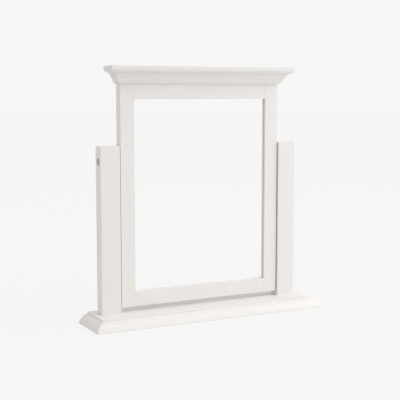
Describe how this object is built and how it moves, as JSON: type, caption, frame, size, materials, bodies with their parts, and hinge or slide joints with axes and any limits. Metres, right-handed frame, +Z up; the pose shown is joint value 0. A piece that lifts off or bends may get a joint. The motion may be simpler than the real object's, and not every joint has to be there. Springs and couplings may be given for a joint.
{
  "type": "dressing table swing mirror",
  "caption": "Free-standing painted dressing-table mirror: a corniced frame that tilts on friction pivots between posts on a moulded base board.",
  "frame": {"origin": "middle of the base board's underside", "axes": "+Z up, +X to the viewer's right, -Y towards the viewer, so the glass faces -Y"},
  "size_m": [0.65, 0.132, 0.6449],
  "materials": {
    "painted_wood": "satin off-white paint",
    "mirror": "silvered glass",
    "fibreboard": "bare fibreboard",
    "beech": "bare beech",
    "zinc_steel": "zinc plated",
    "brass": "machined",
    "nylon": "moulded nylon"
  },
  "bodies": {
    "stand": {"base_board": "painted_wood", "left_post": "painted_wood", "right_post": "painted_wood", "post_screws": "zinc_steel", "post_dowels": "beech", "left_spacer": "nylon", "right_spacer": "nylon"},
    "mirror": {"left_pivot_bolt": "zinc_steel", "right_pivot_bolt": "zinc_steel", "left_head_washer": "zinc_steel", "right_head_washer": "zinc_steel", "left_insert": "brass", "right_insert": "brass", "left_stile": "painted_wood", "right_stile": "painted_wood", "top_rail": "painted_wood", "bottom_rail": "painted_wood", "top_cap": "painted_wood", "cornice_front": "painted_wood", "cornice_left_return": "painted_wood", "cornice_right_return": "painted_wood", "cap_dowels": "beech", "mirror_glass": "mirror", "back_panel": "fibreboard", "left_back_bead": "beech", "right_back_bead": "beech", "top_back_bead": "beech", "bottom_back_bead": "beech"}
  },
  "joints": [
    {"name": "mirror_tilt", "type": "hinge", "parent": "stand", "child": "mirror", "pos_m": [0, 0.027, 0.4095], "axis": [1, 0, 0], "range_deg": [-45, 45]}
  ]
}
